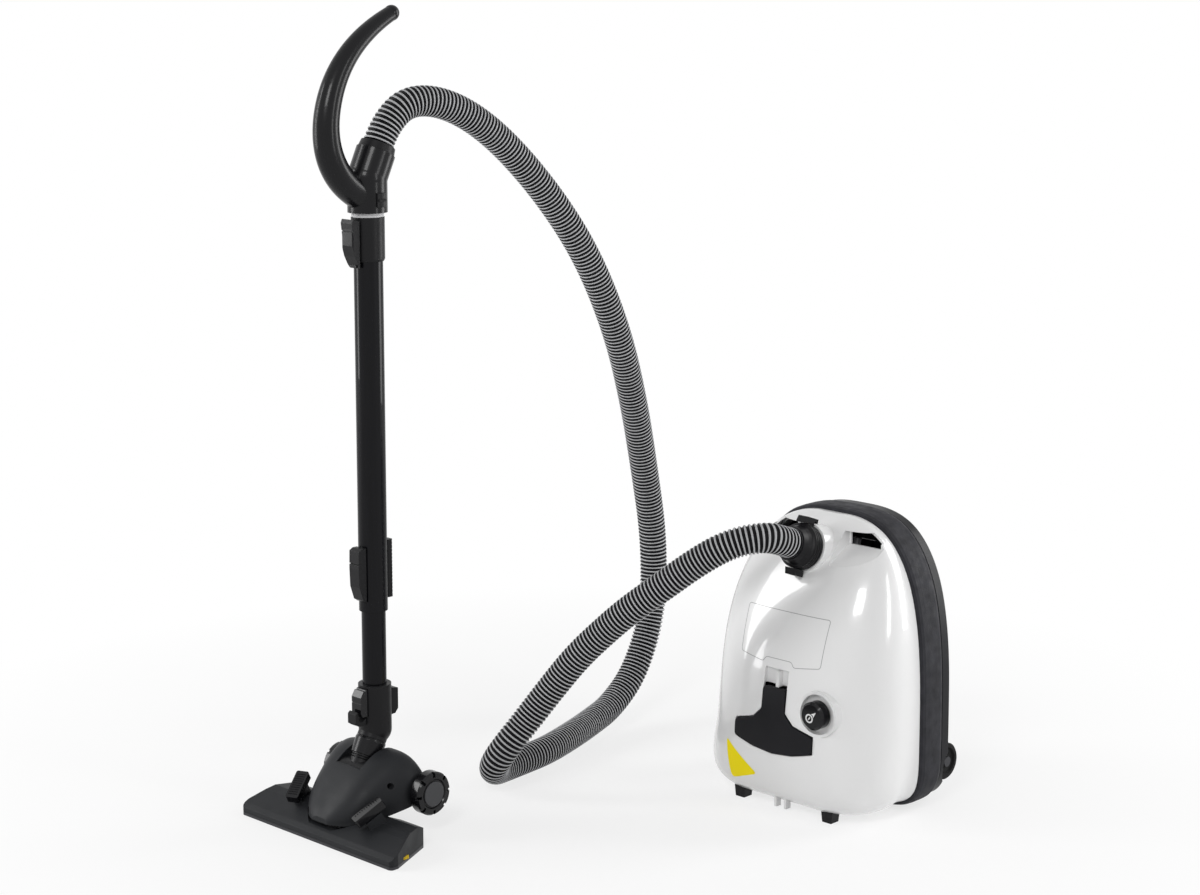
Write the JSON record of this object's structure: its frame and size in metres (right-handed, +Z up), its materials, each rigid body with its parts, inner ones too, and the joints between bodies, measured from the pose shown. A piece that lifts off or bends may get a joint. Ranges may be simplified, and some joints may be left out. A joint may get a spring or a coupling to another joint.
{
  "type": "canister vacuum cleaner",
  "caption": "Upright-parked canister vacuum cleaner with a ribbed hose, curved handle, telescopic tube and a wheeled combination floor nozzle.",
  "frame": {"origin": "on the floor, below the centre of the bounding box of the machine, tube and nozzle without the hose", "axes": "+Z up along the tube, -Y towards the decorated cover's side and the nozzle's front edge, +X from the tube towards the canister"},
  "size_m": [0.667, 0.735, 1.0814],
  "materials": {
    "white_gloss": "gloss",
    "charcoal_soft": "matt textured",
    "satin_black": "satin",
    "gloss_black": "gloss",
    "inner_plastic": "matt",
    "wheel_plastic": "satin",
    "black_tube": "gloss",
    "steel": "turned",
    "fan_metal": "pressed",
    "board": "matt",
    "filter_fleece": "fleece",
    "soft_rubber": "matt",
    "bristle": "bristle",
    "pile": "pile",
    "hose_plastic": "ribbed"
  },
  "bodies": {
    "machine": {"upper_housing": "white_gloss", "lower_housing": "satin_black", "belt_bumper": "charcoal_soft", "tail_feet": "charcoal_soft", "control_board": "board", "exhaust_filter": "filter_fleece", "inlet_socket": "satin_black", "hose_connector": "satin_black", "chamber_wall": "inner_plastic", "motor_filter": "filter_fleece", "motor_housing": "inner_plastic", "motor_mounts": "soft_rubber", "reel_axle": "steel", "bag_holder": "inner_plastic", "dust_bag": "filter_fleece", "door_pin": "steel", "rear_axles": "steel", "handle_shell_right": "satin_black", "handle_shell_left": "satin_black", "hose_cuff": "satin_black", "tube_socket": "satin_black", "upper_tube": "black_tube", "telescope_grip": "satin_black", "hose": "hose_plastic"},
    "exhaust_lid": {"exhaust_cover": "satin_black"},
    "switch": {"switch_shaft": "steel"},
    "knob": {"power_knob": "gloss_black"},
    "latch_upper": {"connector_latch_upper": "satin_black"},
    "latch_lower": {"connector_latch_lower": "satin_black"},
    "motor": {"motor_rotor": "steel", "motor_fan": "fan_metal"},
    "reel": {"cord_reel": "inner_plastic"},
    "door": {"bag_door": "satin_black"},
    "door_catch": {"door_latch": "satin_black"},
    "wheel_right": {"rear_wheel_right": "wheel_plastic"},
    "wheel_left": {"rear_wheel_left": "wheel_plastic"},
    "castor_right": {"castor_fork_right": "satin_black"},
    "castor_left": {"castor_fork_left": "satin_black"},
    "castor_roller_right": {"castor_wheel_right": "wheel_plastic"},
    "castor_roller_left": {"castor_wheel_left": "wheel_plastic"},
    "suction_relief": {"relief_slider": "satin_black"},
    "handle_release": {"tube_latch": "satin_black"},
    "telescope_release": {"telescope_latch": "satin_black"},
    "inner_tube": {"lower_tube": "black_tube", "elbow_socket": "satin_black", "park_hook": "satin_black"},
    "nozzle_release": {"elbow_latch": "satin_black"},
    "swivel": {"neck": "satin_black", "swivel_collar": "gloss_black"},
    "carriage": {"nozzle_cover": "satin_black", "neck_pin": "steel", "nozzle_axles": "steel"},
    "nozzle_roller_right": {"nozzle_wheel_right": "gloss_black"},
    "nozzle_roller_left": {"nozzle_wheel_left": "gloss_black"},
    "sole": {"sole_housing": "satin_black", "sole_plate": "steel", "thread_lifters": "pile"},
    "brushes": {"brush_strips": "bristle"},
    "foot_pedal_right": {"pedal_right": "satin_black"},
    "foot_pedal_left": {"pedal_left": "satin_black"}
  },
  "joints": [
    {"name": "exhaust_lid_lift_off", "type": "slide", "parent": "machine", "child": "exhaust_lid", "axis": [0, -1, 0], "range_m": [0, 0.03]},
    {"name": "switch_press", "type": "slide", "parent": "machine", "child": "switch", "axis": [0, 1, 0], "range_m": [0, 0.003], "stiffness_N_per_m": 900, "springref_m": -0.001},
    {"name": "power_turn", "type": "hinge", "parent": "switch", "child": "knob", "pos_m": [0.2525, 0.1345, 0.153], "axis": [0, -1, 0], "range_deg": [-135, 135]},
    {"name": "upper_latch_release", "type": "hinge", "parent": "machine", "child": "latch_upper", "pos_m": [0.1805, 0.1898, 0.3971], "axis": [1, 0, 0], "range_deg": [0, 12], "stiffness_Nm_per_rad": 0.3, "springref_deg": -5.73},
    {"name": "lower_latch_release", "type": "hinge", "parent": "machine", "child": "latch_lower", "pos_m": [0.1805, 0.1652, 0.3295], "axis": [-1, 0, 0], "range_deg": [0, 12], "stiffness_Nm_per_rad": 0.3, "springref_deg": -5.73},
    {"name": "motor_spin", "type": "hinge", "parent": "machine", "child": "motor", "pos_m": [0.1805, 0.2555, 0.1], "axis": [0, 0, 1], "continuous": true},
    {"name": "reel_spin", "type": "hinge", "parent": "machine", "child": "reel", "pos_m": [0.0955, 0.2555, 0.095], "axis": [1, 0, 0], "continuous": true},
    {"name": "bag_door_open", "type": "hinge", "parent": "machine", "child": "door", "pos_m": [0.1805, 0.3393, 0.206], "axis": [-1, 0, 0], "range_deg": [0, 100]},
    {"name": "door_catch_slide", "type": "slide", "parent": "door", "child": "door_catch", "axis": [0, 0, -1], "range_m": [0, 0.004], "stiffness_N_per_m": 400, "springref_m": -0.001},
    {"name": "wheel_right_roll", "type": "hinge", "parent": "machine", "child": "wheel_right", "pos_m": [0.3055, 0.342, 0.053], "axis": [1, 0, 0], "continuous": true},
    {"name": "wheel_left_roll", "type": "hinge", "parent": "machine", "child": "wheel_left", "pos_m": [0.0555, 0.342, 0.053], "axis": [1, 0, 0], "continuous": true},
    {"name": "castor_right_swivel", "type": "hinge", "parent": "machine", "child": "castor_right", "pos_m": [0.2655, 0.3355, 0.318], "axis": [0, 1, 0], "continuous": true},
    {"name": "castor_left_swivel", "type": "hinge", "parent": "machine", "child": "castor_left", "pos_m": [0.0955, 0.3355, 0.318], "axis": [0, 1, 0], "continuous": true},
    {"name": "castor_right_roll", "type": "hinge", "parent": "castor_right", "child": "castor_roller_right", "pos_m": [0.2655, 0.3521, 0.31], "axis": [1, 0, 0], "continuous": true},
    {"name": "castor_left_roll", "type": "hinge", "parent": "castor_left", "child": "castor_roller_left", "pos_m": [0.0955, 0.3521, 0.31], "axis": [1, 0, 0], "continuous": true},
    {"name": "suction_relief_slide", "type": "slide", "parent": "machine", "child": "suction_relief", "axis": [0, 0, 1], "range_m": [0, 0.01]},
    {"name": "handle_release_pull", "type": "hinge", "parent": "machine", "child": "handle_release", "pos_m": [-0.1815, -0.2837, 0.75], "axis": [1, 0, 0], "range_deg": [0, 8], "stiffness_Nm_per_rad": 0.3, "springref_deg": -5.73},
    {"name": "telescope_release_slide", "type": "slide", "parent": "machine", "child": "telescope_release", "axis": [0, 0, -1], "range_m": [0, 0.005], "stiffness_N_per_m": 500, "springref_m": -0.001},
    {"name": "tube_telescope", "type": "slide", "parent": "machine", "child": "inner_tube", "axis": [0, 0, -1], "range_m": [-0.06, 0.25]},
    {"name": "nozzle_release_pull", "type": "hinge", "parent": "inner_tube", "child": "nozzle_release", "pos_m": [-0.1815, -0.2815, 0.1865], "axis": [-1, 0, 0], "range_deg": [0, 6], "stiffness_Nm_per_rad": 0.3, "springref_deg": -5.73},
    {"name": "nozzle_swivel", "type": "hinge", "parent": "inner_tube", "child": "swivel", "pos_m": [-0.1815, -0.2595, 0.13], "axis": [0, 0.4695, 0.8829], "range_deg": [-60, 60]},
    {"name": "nozzle_tilt", "type": "hinge", "parent": "swivel", "child": "carriage", "pos_m": [-0.1815, -0.29048, 0.07172], "axis": [1, 0, 0], "range_deg": [0, 60]},
    {"name": "nozzle_wheel_right_roll", "type": "hinge", "parent": "carriage", "child": "nozzle_roller_right", "pos_m": [-0.0935, -0.2425, 0.057], "axis": [1, 0, 0], "continuous": true},
    {"name": "nozzle_wheel_left_roll", "type": "hinge", "parent": "carriage", "child": "nozzle_roller_left", "pos_m": [-0.2695, -0.2425, 0.057], "axis": [1, 0, 0], "continuous": true},
    {"name": "sole_rock", "type": "hinge", "parent": "carriage", "child": "sole", "pos_m": [-0.1815, -0.3375, 0.027], "axis": [1, 0, 0], "range_deg": [0, 15]},
    {"name": "pedal_right_press", "type": "hinge", "parent": "sole", "child": "foot_pedal_right", "pos_m": [-0.10645, -0.3269, 0.03754], "axis": [0.9135, -0.4067, 0], "range_deg": [0, 8]},
    {"name": "pedal_left_press", "type": "hinge", "parent": "sole", "child": "foot_pedal_left", "pos_m": [-0.25655, -0.3269, 0.03754], "axis": [0.9135, 0.4067, 0], "range_deg": [-8, 0]},
    {"name": "brush_lift", "type": "slide", "parent": "sole", "child": "brushes", "axis": [0, 0, 1], "range_m": [0, 0.004]}
  ],
  "couplings": [
    {"joint": "pedal_left_press", "follows": "pedal_right_press", "ratio": -1},
    {"joint": "brush_lift", "follows": "pedal_right_press", "m_per_rad": 0.028638}
  ]
}
